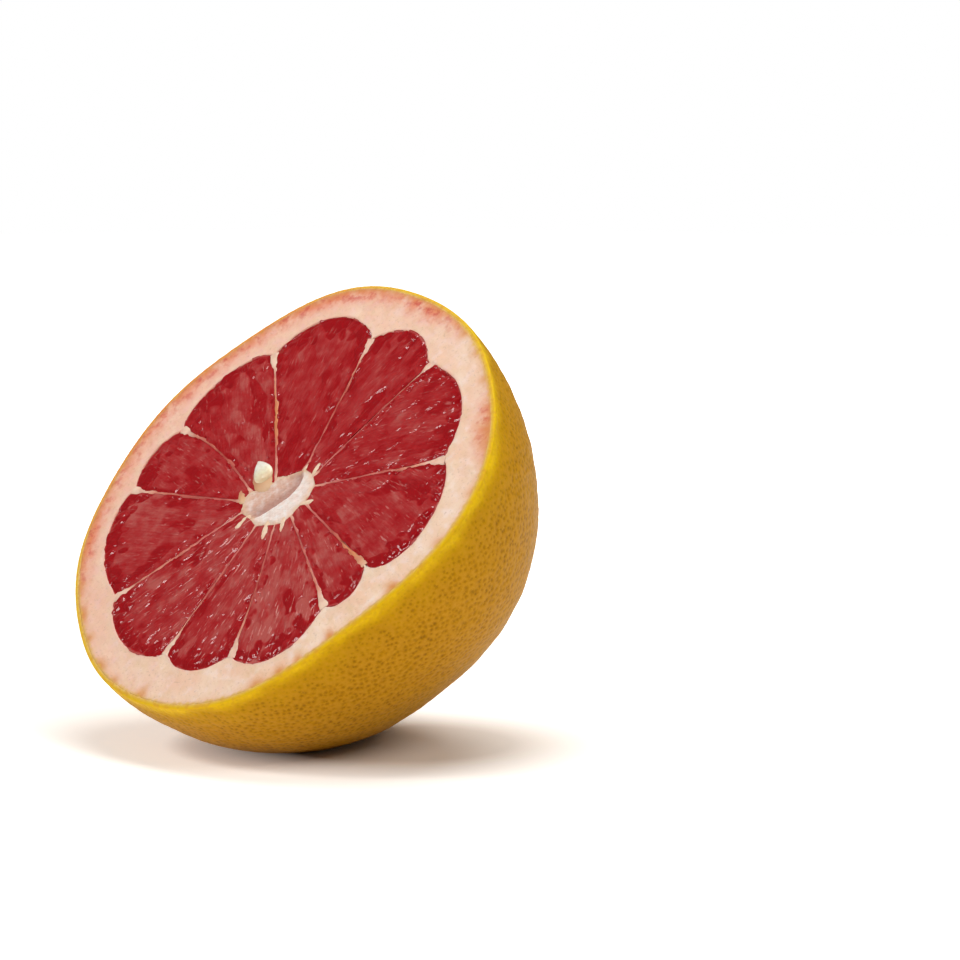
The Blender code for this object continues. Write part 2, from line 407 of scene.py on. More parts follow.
CUT_FALL = -math.asin((CUT_TO_MIDDLE - RIM_ROUND) / RIM_RADIUS)
peel_area = 2 * math.pi * RIM_RADIUS * POLE_DEPTH
gland_count = int(peel_area / (GLAND_SPACING ** 2 * 0.87))
draw = np.random.default_rng(11)
turns = np.arange(gland_count) + 0.5
gland_fall = np.arcsin(blend(math.sin(CUT_FALL) - 0.01, 0.998, turns / gland_count))
gland_angle = turns * math.pi * (3 - math.sqrt(5))
gland_fall += draw.normal(0, 0.24 * GLAND_SPACING / RIM_RADIUS, gland_count)
gland_angle += draw.normal(0, 0.24 * GLAND_SPACING / RIM_RADIUS, gland_count) / np.maximum(
    0.05, np.cos(gland_fall)
)
glands = body_point(gland_angle, gland_fall)
gland_size = draw.uniform(0.65, 1.2, gland_count)
tree = KDTree(gland_count)
for index, spot in enumerate(glands):
    tree.insert(spot, index)
tree.balance()
print(gland_count, "oil glands, about", GLAND_SPACING, "mm apart")

# %% [markdown]
# The peel's grid runs up the inside of the skin, across its cut edge and down the outside, so it
# is a closed shell like the real rind. The cut edge is where the glands are sliced open.

# %% Shape of the peel
angles = np.arange(PEEL_COLUMNS) * 2 * math.pi / PEEL_COLUMNS
falls = np.linspace(CUT_FALL, math.pi / 2 - 0.004, PEEL_ROWS)
outside = body_point(angles[None, :], falls[:, None])
across_rows = np.roll(outside, -1, axis=1) - np.roll(outside, 1, axis=1)
down_rows = np.gradient(outside, axis=0)
outward = np.cross(down_rows, across_rows)
outward = outward / np.linalg.norm(outward, axis=-1, keepdims=True)
if (outward[0, 0] @ outside[0, 0]) < 0:
    outward = -outward
nearest = [tree.find(spot) for spot in outside.reshape(-1, 3)]
gland_gap = np.array([found[2] for found in nearest]).reshape(outside.shape[:2])
gland_here = gland_size[np.array([found[1] for found in nearest])].reshape(outside.shape[:2])
pit = np.exp(-(gland_gap / (PIT_RADIUS * gland_here)) ** 2)
fade_in = smooth(np.arange(PEEL_ROWS) / 3.0)[:, None]
relief = -PIT_DEPTH * gland_here * pit * fade_in
relief += 0.10 * wander(outside, 9.0, 5) * fade_in + 0.03 * wander(outside, 3.0, 6) * fade_in
outside = outside + outward * relief[..., None]
over_table = outside @ lean.T + FACE_MIDDLE
over_table[..., 2] = np.maximum(over_table[..., 2], 0.0)
outside = (over_table - FACE_MIDDLE) @ lean

rim_way = np.stack([np.cos(angles), np.sin(angles), 0 * angles], axis=-1)
rim_line = rim_way * rim_radius(angles)[:, None]
edge_steps = np.array((-PEEL_THICKNESS, -0.95, -0.75, -0.55, -0.4, -0.28, -0.16, -0.05))
edge_drop = np.array((-0.06, -0.01, 0.0, 0.01, 0.0, -0.02, -0.07, -0.16))
cut_edge = rim_line[None] + rim_way[None] * edge_steps[:, None, None]
cut_edge[..., 2] = edge_drop[:, None] + 0.035 * wander(cut_edge, 0.9, 8)
inner_falls = np.linspace(math.pi / 2 - 0.02, CUT_FALL + 0.02, 26)
inside = body_point(angles[None, :], inner_falls[:, None])
inside = inside * (1 - PEEL_THICKNESS / np.linalg.norm(inside, axis=-1, keepdims=True))
rows = np.concatenate([inside, cut_edge, outside])
peel_faces = np.array(grid_faces(len(rows), PEEL_COLUMNS, around=True))
corners = rows.reshape(-1, 3)[peel_faces]
own_gland = np.array([tree.find(spot)[1] for spot in corners.mean(axis=1)])
gland_way = (corners - glands[own_gland][:, None]) / gland_size[own_gland][:, None, None]
outer_share = np.zeros(rows.shape[:2])
outer_share[-PEEL_ROWS:] = 1.0
from_rim = np.zeros(rows.shape[:2])
from_rim[-PEEL_ROWS:] = (falls[:, None] - CUT_FALL) * RIM_RADIUS
from_rim[len(inside):-PEEL_ROWS] = edge_steps[:, None]
print("pits up to", round(float(-relief.min()), 2), "mm deep")

# %% [markdown]
# Grapefruit peel is waxy skin: satin, with a broad soft sheen, so its roughness is about 0.4 and
# its refractive index that of plant wax, 1.44. Near the cut the skin is a clear yellow. Further
# round it is a duller, browner gold with olive gland dots. Slow noise moves both about.

# %% Material of the peel
def waxy_peel():
    material, surface = new_material(
        "waxy_grapefruit_peel", Roughness=0.5, IOR=1.44, Specular_IOR_Level=0.1,
        Specular_Tint=(1.0, 0.78, 0.3, 1.0), Subsurface_Weight=0.12, Subsurface_Scale=0.002,
    )
    surface.inputs["Subsurface Radius"].default_value = (1.0, 0.55, 0.12)
    place = place_of(material)
    slow = noise(material, place, 22.0, 2.0)
    middle = noise(material, place, 5.0, 3.0)
    fine = noise(material, place, 0.7, 3.0)
    distance = value_of(material, "from_rim")
    shifted = add(
        material, "Math", {0: distance, 1: reach_of(material, slow, 0.3, 0.7, -1.5, 1.5)},
        operation="ADD",
    ).outputs[0]
    ground = ramp(material, reach_of(material, shifted, 0.0, 44.0), (
        (0.0, "#E6BE14"), (0.03, "#D2A606"), (0.07, "#BA8A02"), (0.2, "#AE7A02"),
        (0.6, "#A67206"), (1.0, "#AA7812"),
    ))
    ground = mix(material, reach_of(material, middle, 0.35, 0.7, 0.0, 0.4), ground, colour("#9A6606"))
    ground = mix(material, reach_of(material, fine, 0.4, 0.7, 0.0, 0.5), ground, colour("#C48E1E"))
    reach = add(material, "VectorMath", {0: place_of(material, "gland_way")}, operation="LENGTH")
    ragged = add(material, "Math", {
        0: reach.outputs["Value"], 1: reach_of(material, fine, 0.3, 0.7, -0.07, 0.07),
    }, operation="ADD").outputs[0]
    rim_share = reach_of(material, shifted, 1.0, 6.0)
    between = add(material, "Math", {
        0: reach_of(material, ragged, 0.4, 0.85, 0.0, 0.4), 1: rim_share,
    }, operation="MULTIPLY").outputs[0]
    ground = mix(material, between, ground, colour("#C08A24"))
    dot = reach_of(material, ragged, 0.1, 0.42, 1.0, 0.0)
    strength = reach_of(material, rim_share, 0.0, 1.0, 0.15, 0.6)
    strength = add(material, "Math", {
        0: strength, 1: reach_of(material, middle, 0.35, 0.65, 0.45, 1.0),
    }, operation="MULTIPLY").outputs[0]
    dot = add(material, "Math", {0: dot, 1: strength}, operation="MULTIPLY").outputs[0]
    skin = mix(material, dot, ground, colour("#6E4C0A"))
    cut = ramp(material, reach_of(material, distance, -PEEL_THICKNESS, 0.0), (
        (0.0, "#E8C07C"), (0.4, "#E4B84A"), (0.8, "#E2B820"), (1.0, "#E2B812"),
    ))
    spots = reach_of(material, noise(material, place, 1.6, 2.0), 0.45, 0.65, 0.0, 0.6)
    cut = mix(material, spots, cut, colour("#D69836"))
    rosy = add(material, "Math", {
        0: value_of(material, "rosy"), 1: reach_of(material, middle, 0.3, 0.6, 0.5, 1.0),
    }, operation="MULTIPLY").outputs[0]
    cut = mix(material, rosy, cut, colour("#DE9050"))
    outside_share = value_of(material, "outside")
    link(material, mix(material, outside_share, cut, skin), surface, "Base Color")
    bump = add(
        material, "Bump", {"Height": fine, "Strength": 0.18, "Distance": 0.0002},
    )
    link(material, bump.outputs["Normal"], surface, "Normal")
    return material


peel = make_piece(
    "peel", rows.reshape(-1, 3), peel_faces.tolist(),
    {
        "place": rows.reshape(-1, 3), "outside": outer_share.ravel(),
        "from_rim": from_rim.ravel(), "gland_way": gland_way.reshape(-1, 3),
        "rosy": np.tile(smooth(1.6 - np.abs(np.degrees(angles) - 150) / 40), len(rows)),
    },
    waxy_peel(),
)
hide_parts("grapefruit_half")

# %% [markdown]
# ## Pith
#
# Under the skin lies the pith, a white sponge six to ten millimetres thick. On the cut face it is
# a flat ring with a crisp inner lip, notched where each wall joins it. It is swept as a closed
# ring: up the inner side, over the lip, across the cut and down again out of sight.

# %% Shape of the pith
PITH_COLUMNS = 132          # for each segment
PITH_ROWS = 34
PITH_DEPTH = 6.0


def spread(part, strength=0.5):
    """Evenly spaced parts from 0 to 1, moved closer together near both ends."""
    return part - strength * np.sin(2 * math.pi * part) / (2 * math.pi)


inner_line = np.concatenate([
    outer_point(segment, spread(np.arange(PITH_COLUMNS) / PITH_COLUMNS))
    for segment in range(SEGMENTS)
])
pith_angles = np.unwrap(np.arctan2(inner_line[:, 1], inner_line[:, 0]))
outer_line = np.stack([np.cos(pith_angles), np.sin(pith_angles)], axis=-1) * (
    rim_radius(pith_angles) - PEEL_THICKNESS + 0.12
)[:, None]
width = np.linalg.norm(outer_line - inner_line, axis=-1)
steps = np.concatenate([[0.0, 0.0, 0.004, 0.016], np.linspace(0.035, 1.0, PITH_ROWS), [0.9]])
drops = np.concatenate([[-PITH_DEPTH, -0.5, -0.2, -0.06], np.zeros(PITH_ROWS), [-PITH_DEPTH]])
flat = inner_line[None] + (outer_line - inner_line)[None] * steps[:, None, None]
pith_relief = 0.05 * wander(flat, 4.0, 21) + 0.025 * wander(flat, 1.2, 22)
pith_relief -= 0.12 * np.sin(math.pi * np.clip(steps, 0, 1))[:, None]
heights = drops[:, None] + np.where(drops[:, None] > -1, pith_relief, 0)
pith_points = np.concatenate([flat, heights[..., None]], axis=-1)
skin_gap = (1 - steps)[:, None] * width[None] + PEEL_THICKNESS - 0.12
print("pith from", round(float(width.min()), 1), "to", round(float(width.max()), 1), "mm wide")

# %% [markdown]
# Fresh pith is a matt cream sponge with a breath of pink. In this fruit the red of the pulp has
# crept out to the skin in soft blotches, orange at the skin and salmon further in. One row here is
# one stretch of the rim: its middle and half width in degrees, how strong the red is, and how many
# millimetres it reaches in. Elsewhere single oil glands of the skin, sliced open, have left small
# amber spots, which are rows of the same kind.

# %% Red blotches and gland spots
BLUSHES = (
    (152, 52, 1.0, 6.4),
    (104, 16, 0.9, 5.0),
    (76, 9, 1.1, 6.4),
    (62, 5, 0.5, 4.0),
    (23, 9, 1.0, 6.6),
    (203, 12, 0.8, 4.6),
)
GLAND_SPOTS = (
    (-23, 2.0, 1.0, 4.6), (-41, 1.5, 1.0, 4.4), (-50, 1.2, 0.9, 3.4), (-55, 1.6, 1.0, 3.8),
    (-61, 2.4, 0.9, 3.8), (226, 3.2, 1.0, 3.0), (235, 1.6, 0.9, 3.4), (246, 2.6, 1.0, 3.0),
    (254, 1.4, 0.8, 3.0), (265, 2.0, 1.0, 4.4), (216, 2.0, 0.8, 3.0), (48, 1.6, 0.7, 3.4),
    (21, 5.0, 0.5, 6.0), (38, 1.4, 0.8, 3.2), (4, 1.3, 0.7, 3.0), (-9, 1.6, 0.7, 3.2), (57, 1.4, 0.8, 3.6),
)


def away_from(angle, middle):
    """Degrees between two angles, -180 to 180."""
    return (angle - middle + 180) % 360 - 180


rim_degrees = np.degrees(pith_angles) * np.ones((len(steps), 1))


def stretches(rows):
    """How strongly a list of stretches of the rim shows at each point of the pith, 0 to 1."""
    total = np.zeros_like(rim_degrees)
    for middle, spread_out, strength, reach in rows:
        here = strength * np.exp(-(away_from(rim_degrees, middle) / spread_out) ** 2)
        total += here * (1 - smooth((skin_gap - 1.0) / reach))
    return np.clip(total, 0, 1)


blush = stretches(BLUSHES)
gland_spots = stretches(GLAND_SPOTS)

draw = np.random.default_rng(63)
tooth_places = np.cumsum(draw.uniform(0.9, 2.4, 260))
tooth_places = tooth_places[tooth_places < 2 * math.pi * RIM_RADIUS - 0.8]
tooth_sizes = draw.uniform(0.2, 1.2, len(tooth_places))
along_rim = (pith_angles - pith_angles[0]) % (2 * math.pi) * RIM_RADIUS
tooth_shape = 1 - (np.abs(along_rim[:, None] - tooth_places[None]) / 0.85) ** 1.5
teeth = (np.clip(tooth_shape, 0, 1) * tooth_sizes[None]).max(axis=1)
tooth_edge = 1.05 + 0.4 * teeth[None] - skin_gap
print(len(tooth_places), "gland teeth along the rim")

# %% Material of the pith
def spongy_pith():
    material, surface = new_material(
        "spongy_pith", Roughness=0.62, IOR=1.38, Specular_IOR_Level=0.3,
        Subsurface_Weight=0.3, Subsurface_Scale=0.0025,
    )
    surface.inputs["Subsurface Radius"].default_value = (1.0, 0.6, 0.4)
    place = place_of(material)
    slow = noise(material, place, 9.0, 2.0)
    middle = noise(material, place, 2.4, 3.0)
    fine = noise(material, place, 0.6, 3.0)
    gap = value_of(material, "skin_gap")
    ground = ramp(material, slow, ((0.3, "#EFC6AA"), (0.5, "#F0CEB4"), (0.7, "#F4D8C2")))
    ground = mix(material, reach_of(material, middle, 0.5, 0.68, 0.0, 0.6), ground, colour("#F8E2DA"))
    tan = reach_of(material, noise(material, place, 3.4, 4.0, 0.65), 0.5, 0.7, 0.0, 0.6)
    ground = mix(material, tan, ground, colour("#E4C29A"))
    pink = add(material, "Math", {
        0: value_of(material, "pink"), 1: reach_of(material, middle, 0.35, 0.7, 0.3, 1.0),
    }, operation="MULTIPLY").outputs[0]
    ground = mix(material, pink, ground, colour("#E7A08E"))
    warm = reach_of(material, gap, 1.0, 2.6, 0.45, 0.0)
    ground = mix(material, warm, ground, colour("#EBAE78"))
    pores = reach_of(material, fine, 0.58, 0.74, 0.0, 0.6)
    ground = mix(material, pores, ground, colour("#CBA688"))
    lip = reach_of(material, value_of(material, "lip_gap"), 0.1, 0.7, 0.7, 0.0)
    ground = mix(material, lip, ground, colour("#F0B4A0"))
    blush = value_of(material, "blush")
    broad = add(material, "Math", {
        0: blush, 1: reach_of(material, noise(material, place, 3.2, 3.0), 0.34, 0.6, 0.3, 1.0),
    }, operation="MULTIPLY").outputs[0]
    ground = mix(material, broad, ground, colour("#E28468"))
    amber = add(material, "Math", {
        0: broad, 1: reach_of(material, gap, 1.0, 3.4, 0.9, 0.0),
    }, operation="MULTIPLY").outputs[0]
    ground = mix(material, amber, ground, colour("#DC8A4C"))
    deep = add(material, "Math", {
        0: blush, 1: reach_of(material, noise(material, place, 2.2, 3.0, 0.6), 0.5, 0.66, 0.0, 0.85),
    }, operation="MULTIPLY").outputs[0]
    ground = mix(material, deep, ground, colour("#CC5248"))
    spots = add(material, "Math", {
        0: value_of(material, "gland_spots"), 1: reach_of(material, middle, 0.3, 0.55, 0.7, 1.0),
    }, operation="MULTIPLY").outputs[0]
    ground = mix(material, spots, ground, colour("#D98C48"))
    teeth = reach_of(material, value_of(material, "tooth"), -0.45, 0.3, 0.0, 0.9)
    yellow = mix(material, blush, colour("#E4B250"), colour("#DE9456"))
    ground = mix(material, teeth, ground, yellow)
    link(material, ground, surface, "Base Color")
    bump = add(material, "Bump", {"Height": fine, "Strength": 0.3, "Distance": 0.0002})
    link(material, bump.outputs["Normal"], surface, "Normal")
    return material


pinkness = 0.28 + 0.32 * np.cos(np.radians(rim_degrees - 160)) + 0.12 * wander(flat, 8.0, 64)
closed_rows = np.concatenate([pith_points, pith_points[:1]])
column_count = SEGMENTS * PITH_COLUMNS
ring_faces = np.array(grid_faces(len(closed_rows), column_count, around=True))
ring_faces[ring_faces >= len(pith_points) * column_count] -= len(pith_points) * column_count
pith = make_piece(
    "pith", pith_points.reshape(-1, 3), ring_faces.tolist(),
    {
        "place": pith_points.reshape(-1, 3), "skin_gap": skin_gap.ravel(),
        "blush": blush.ravel(), "gland_spots": gland_spots.ravel(), "tooth": tooth_edge.ravel(),
        "pink": np.clip(pinkness, 0, 1).ravel(), "lip_gap": (steps[:, None] * width[None]).ravel(),
    },
    spongy_pith(),
)

# %% [markdown]
# ## Juice sacs
#
# A segment is a bag packed with juice sacs: red drops, a few millimetres wide and up to a
# centimetre long, that all point at the core. The knife slices them open. Small round ones fill
# the places along the walls and under the pith. Each sac gets a middle, a direction, a length, a
# width, a level and a depth of colour. Every point of the surface then belongs to the sac that it
# is nearest to, measured in that sac's own length and width, which packs them like real ones.
#
# No two segments are cut alike, so each has a row of its own: the share of deep crimson sacs, how strong
# the pale streaks and painted highlights on the sliced ones are, and how pale. The larger crimson pockets,
# which catch the eye, have a list of their own.

# %% Where the sacs are
PULP_DROP = 0.1
PULP_STEP = 0.22            # distance between points of the pulp's surface
PULP_LOOKS = (              # deep share, streaks and painted highlights, paleness, anticlockwise from the right-hand one
    (0.08, 0.40, 0.58),
    (0.14, 0.35, 0.50),
    (0.14, 0.20, 0.48),
    (0.16, 0.22, 0.50),
    (0.12, 0.40, 0.62),
    (0.14, 0.35, 0.58),
    (0.08, 0.25, 0.64),
    (0.08, 0.75, 0.66),
    (0.06, 0.90, 0.72),
    (0.06, 1.00, 0.76),
    (0.06, 0.60, 0.72),
)
POCKETS = (                 # place, direction in degrees, half length, half width
    (-33, 26, -25, 3.4, 1.6), (-35, 19, -10, 2.8, 1.9), (-20, 10.5, -20, 2.6, 1.6),
    (-40, 0, 85, 2.6, 1.5), (-34, -3.6, 3, 3.4, 0.9), (-40, -16, 100, 2.8, 2.0),
    (-24, -22, 45, 4.2, 1.2), (-16, -20.5, 20, 3.0, 1.3), (-12.5, -16, 40, 2.4, 1.3),
    (0.2, 21, 80, 1.2, 1.0), (2.4, 15, 95, 2.2, 0.7), (4.6, 18.5, 97, 4.2, 0.7),
    (-9.2, 17.2, 0, 1.2, 0.8), (-3.4, 11.5, 60, 1.6, 1.3), (0.8, 10.2, 30, 1.0, 0.8),
    (-1.0, 5.2, 15, 2.0, 1.2), (13, 18.5, 50, 2.4, 1.3), (19, 27, 70, 2.2, 1.1),
    (38.5, 18, 100, 1.8, 1.5), (40, -9.6, 40, 2.2, 1.6), (39, -14, 60, 2.2, 1.4),
    (4.2, 37.5, 95, 2.4, 1.3), (-1.4, 41, 110, 2.0, 1.6), (-20, 37, 45, 2.0, 1.5),
    (15.6, -5.3, -14, 3.4, 0.7), (24, -34.8, 20, 4.0, 1.3), (35, -19.2, 80, 1.6, 1.1),
    (32.6, -23, 40, 1.5, 1.2), (4, -42.4, 8, 5.0, 1.2), (-9, -41.6, -12, 4.2, 1.2),
    (-3, -34.5, 82, 2.4, 0.9), (27, 12, 15, 1.4, 0.7), (33, 8, 15, 1.6, 0.6),
)


def width_at(segment, out):
    ends = pulp_point(segment, np.array([0.0, 1.0]), np.array([out, out]))
    return float(np.linalg.norm(ends[1] - ends[0]))


def sacs_of(segment, draw):
    """A row for each sac: place, direction, half length, half width, level, tone and bulge."""
    sacs = []
    deep_share, streaks_and_glints, paleness = PULP_LOOKS[segment]
    middle = np.array([0.5])
    length = float(np.linalg.norm(outer_point(segment, middle) - core_point(segment, middle)))

    def put(across, out, long, wide, level, tone, tilt, bulge=0.12):
        spots = pulp_point(segment, np.array([across, across]), np.array([out, out + 0.02]))
        run = spots[1] - spots[0]
        angle = math.atan2(run[1], run[0]) + tilt
        sacs.append((*spots[0], math.cos(angle), math.sin(angle), long, wide, level, tone, bulge))

    out = 0.02
    while out < 0.9:
        count = max(2, round(width_at(segment, out) / 2.7))
        for place in range(count):
            across = (place + 0.5 + draw.uniform(-0.35, 0.35)) / count
            deep = draw.uniform() < deep_share
            put(
                across, out + draw.uniform(-0.06, 0.06), draw.uniform(2.8, 5.6), draw.uniform(1.1, 1.9),
                draw.normal(-0.08 if deep else 0.02, 0.04),
                draw.uniform(0.0, 0.3) if deep else draw.normal(paleness, 0.1),
                draw.normal(0, 0.12),
            )
        out += 4.6 / length
    arc = width_at(segment, 0.9) * 1.12
    for ring, spacing in ((0.955, 2.0), (0.87, 3.6)):
        beads = int(arc / spacing)
        for place in range(beads):
            size = draw.uniform(0.7, 1.3)
            put(
                (place + 0.5 + draw.uniform(-0.35, 0.35)) / beads, ring + draw.uniform(-0.03, 0.02),
                size * draw.uniform(1.0, 1.6), size, draw.normal(-0.12, 0.07),
                draw.choice((0.0, 0.15, 0.5)), draw.normal(0, 0.4), draw.uniform(0.08, 0.26),
            )
    for side in (0, 1):
        for place in range(int(length / 1.8)):
            out = 0.1 + 0.84 * (place + draw.uniform(0, 0.9)) / (length / 1.8)
            inset = draw.uniform(0.4, 1.6) / width_at(segment, out)
            size = draw.uniform(0.4, 0.8)
            put(
                abs(side - inset), out, size * draw.uniform(1.0, 2.4), size, draw.normal(-0.1, 0.06),
                draw.choice((0.0, 0.2, 0.6)), draw.normal(0, 0.2), draw.uniform(0.06, 0.22),
            )
    for x, y, degrees, long, wide in POCKETS:
        angle = math.radians(degrees)
        sacs.append((x, y, math.cos(angle), math.sin(angle), long, wide, -0.04, -0.3, 0.16))
    return np.array(sacs)


def sac_surface(places, sacs):
    """Height and tone of the pulp at each place."""
    moved = places + 0.4 * np.stack([wander(places, 4.5, 31), wander(places, 4.5, 32)], axis=-1)
    apart = moved[:, None, :] - sacs[None, :, 0:2]
    along = apart[..., 0] * sacs[:, 2] + apart[..., 1] * sacs[:, 3]
    beside = apart[..., 1] * sacs[:, 2] - apart[..., 0] * sacs[:, 3]
    far = np.sqrt((along / sacs[:, 4]) ** 2 + (beside / sacs[:, 5]) ** 2)
    two = np.partition(far, 1, axis=1)[:, :2]
    share = np.exp(-7.0 * (far ** 2 - two[:, :1] ** 2))
    share = share / share.sum(axis=1, keepdims=True)
    level = (share * sacs[:, 6]).sum(axis=1)
    tone = (share * sacs[:, 7]).sum(axis=1)
    gap = (two[:, 1] - two[:, 0]) * (share * sacs[:, 5]).sum(axis=1)
    dome = (share * sacs[:, 8]).sum(axis=1) * (1 - np.clip(two[:, 0], 0, 1.3) ** 2)
    groove = 0.04 * np.exp(-(gap / 0.25) ** 2)
    return level + dome - groove, tone


first_sacs = sacs_of(0, np.random.default_rng(40))
print(len(first_sacs), "sacs in the first segment")

# %% [markdown]
# Wet pulp is red juice held in clear skins. Light goes a few millimetres in and comes back red, so the
# material scatters below the surface, and a thin clear coat gives the wet shine. Deep or whole sacs are a
# dark crimson. Sliced ones are a duller, paler red, because there the knife has opened the skins and let
# in air. Fine pale streaks run along them: the pale skins of the sacs, with painted highlights where
# tilted sacs catch the light, most of all in the lower segments.

# %% Material of the pulp
def wet_pulp():
    material, surface = new_material(
        "wet_juice_sacs", Roughness=0.4, IOR=1.36, Specular_IOR_Level=0.1,
        Subsurface_Weight=0.3, Subsurface_Scale=0.0015, Coat_Weight=0.6, Coat_Roughness=0.08,
        Coat_IOR=1.4,
    )
    surface.inputs["Subsurface Radius"].default_value = (1.0, 0.12, 0.1)
    place = place_of(material)
    grain = place_of(material, "grain")
    streak = noise(material, grain, 0.9, 4.0, 0.6)
    thread = noise(material, grain, 0.45, 2.0, 0.5)
    cloud = noise(material, place, 4.0, 3.0)
    tone = value_of(material, "tone")
    for varied, change in ((cloud, 0.26), (streak, 0.1), (thread, 0.06)):
        tone = add(material, "Math", {
            0: tone, 1: reach_of(material, varied, 0.3, 0.7, -change, change),
        }, operation="ADD").outputs[0]
    ground = ramp(material, tone, (
        (0.0, "#98000A"), (0.2, "#9C060E"), (0.4, "#A41A1E"), (0.65, "#A92E2E"), (1.0, "#B4544E"),
    ))
    # Short pale strokes along the sacs: their pale skins, with painted highlights where tilted sacs catch
    # the light.
    streak_and_glint_strokes = reach_of(material, noise(material, grain, 0.5, 2.0, 0.5), 0.57, 0.67)
    patches = reach_of(material, noise(material, place, 2.6, 3.0), 0.44, 0.58)
    pale = add(material, "Math", {0: streak_and_glint_strokes, 1: value_of(material, "streaks_and_glints")}, operation="MULTIPLY")
    pale = add(material, "Math", {0: pale.outputs[0], 1: patches}, operation="MULTIPLY").outputs[0]
    ground = mix(material, pale, ground, colour("#E0A298"))
    link(material, ground, surface, "Base Color")
    bump = add(material, "Bump", {
        "Height": thread, "Strength": 0.2, "Distance": 0.0003,
    })
    link(material, bump.outputs["Normal"], surface, "Normal")
    link(material, bump.outputs["Normal"], surface, "Coat Normal")
    return material


pulp_material = wet_pulp()

# %% [markdown]
# The surface of a segment is a fine grid between its two walls. Its border turns down and closes
# below, which makes each segment a solid slab of pulp.

# %% Shape of the segments
def make_segment(segment):
    draw = np.random.default_rng(40 + segment)
    sacs = sacs_of(segment, draw)
    columns = int(width_at(segment, 0.8) / PULP_STEP)
    middle = np.array([0.5])
    length = float(np.linalg.norm(outer_point(segment, middle) - core_point(segment, middle)))
    rows = int(1.1 * length / PULP_STEP)
    out = np.linspace(-0.1, 1.008, rows)[:, None] * np.ones(columns)
    line = pulp_point(segment, np.zeros(rows), out[:, 0])
    other = pulp_point(segment, np.ones(rows), out[:, 0])
    apart = np.linalg.norm(other - line, axis=1)[:, None]
    inset = 0.18 / apart
    across = inset + (1 - 2 * inset) * np.linspace(0, 1, columns)[None, :]
    flat = pulp_point(segment, across, out)
    relief, tone = (part.reshape(rows, columns) for part in sac_surface(flat.reshape(-1, 2), sacs))
    from_wall = np.minimum(across, 1 - across) * apart
    from_pith = (1 - out) * length
    inside = smooth(from_wall / 2.2) * smooth(from_pith / 2.4)
    corner = (1 - smooth(from_wall / 1.8)) * (1 - smooth(from_pith / 6.0))
    calm = 1 - np.maximum(0.55 * (1 - smooth(from_wall / 0.9)), 0.85 * corner)
    height = -PULP_DROP + 0.06 * inside + relief * (1.2 - 0.5 * inside) * calm
    height += 0.12 * (1 - smooth(from_pith / 0.7)) * smooth((from_wall - 0.8) / 1.2)
    height -= 0.12 * (1 - smooth(from_pith / 4.0)) * (1 - smooth((from_wall - 0.2) / 0.8))
    height += 0.04 * wander(flat, 3.2, 50 + segment) + 0.012 * wander(flat, 0.8, 80 + segment)
    reach = np.linalg.norm(flat - AXIS, axis=-1)
    height = np.minimum(height, 0.15) - 1.3 * smooth((inside_core(flat) + 0.1) / 0.9)
    uneven_border = 0.8 + 0.4 * wander(flat, 5.0, 190 + segment)
    # The tone deepens towards the pith and the walls: the deep crimson of whole sacs there, with painted
    # shade where the pulp lies below the pith and the walls.
    tone = tone - 0.42 * uneven_border * (1 - smooth(from_pith / 3.4))
    tone = tone - 0.16 * uneven_border * (1 - smooth(from_wall / 1.8))
    tone = tone + 0.9 * np.exp(-(from_pith / 0.35) ** 2)
    # Strength of the pale streaks and painted highlights, greatest inside the segment.
    streaks_and_glints = PULP_LOOKS[segment][1] * inside * (0.55 + 0.45 * wander(flat, 7.0, 150 + segment))
    points = np.concatenate([flat, height[..., None]], axis=-1)
    grain = np.stack([reach * 0.16, across * apart, np.full_like(reach, 7.0 * segment)], axis=-1)
    number = np.arange(rows * columns).reshape(rows, columns)
    border = np.concatenate([
        number[0, :-1], number[:-1, -1], number[-1, :0:-1], number[:0:-1, 0],
    ])
    top = points.reshape(-1, 3)
    bottom = top[border].copy()
    bottom[:, 2] = -PITH_DEPTH + 0.2
    count, around = len(top), len(border)
    side = [
        (int(border[k]), int(border[(k + 1) % around]), count + (k + 1) % around, count + k)
        for k in range(around)
    ]
    faces = grid_faces(rows, columns) + side + [tuple(range(count + around - 1, count - 1, -1))]
    values = {"place": np.concatenate([top, bottom])}
    values["grain"] = np.concatenate([grain.reshape(-1, 3), grain.reshape(-1, 3)[border]])
    for name, value in (("tone", tone), ("streaks_and_glints", np.clip(streaks_and_glints, 0, 1))):
        values[name] = np.concatenate([value.ravel(), value.ravel()[border]])
    return make_piece(
        f"pulp_segment_{segment + 1:02d}", values["place"], faces, values, pulp_material,
    )


for segment in range(SEGMENTS):
    make_segment(segment)

# %% [markdown]
# ## Walls
#
# The wall between two segments is two thin skins grown together. Cut across, it is a line a good
# half a millimetre wide. Where the sacs have shrunk back it stands clear of them, and where they
# bulge over it, it is hardly seen. One row here gives a wall's width, how clear it is near the
# core, halfway and near the pith, how orange it is and how far out. It widens there, and where it
# grows out of the core and into the pith.

# %% Shape of the walls
WALL_ROWS = 190
WALL_LOOKS = (
    (0.66, 0.90, 0.50, 0.90, 0.8, 0.85),
    (0.72, 0.80, 0.60, 1.00, 0.0, 0.5),
    (0.62, 0.80, 0.25, 0.70, 0.0, 0.5),
    (0.64, 0.75, 0.40, 0.90, 0.1, 0.5),
    (0.66, 0.95, 1.00, 1.00, 0.9, 0.5),
    (0.72, 0.75, 0.40, 0.60, 0.2, 0.5),
    (0.66, 0.70, 0.50, 0.90, 0.0, 0.5),
    (0.80, 0.95, 0.90, 1.00, 0.1, 0.5),
    (0.64, 0.90, 0.55, 0.90, 0.0, 0.5),
    (0.62, 0.90, 0.45, 0.90, 0.1, 0.5),
    (0.66, 0.80, 0.70, 1.00, 0.0, 0.5),
)
WALL_TOP = np.array((-1.0, -1.0, -0.8, -0.4, 0.0, 0.4, 0.8, 1.0, 1.0))
WALL_DROP = np.array((-5.5, -0.2, -0.08, -0.02, 0.0, -0.02, -0.08, -0.2, -5.5))


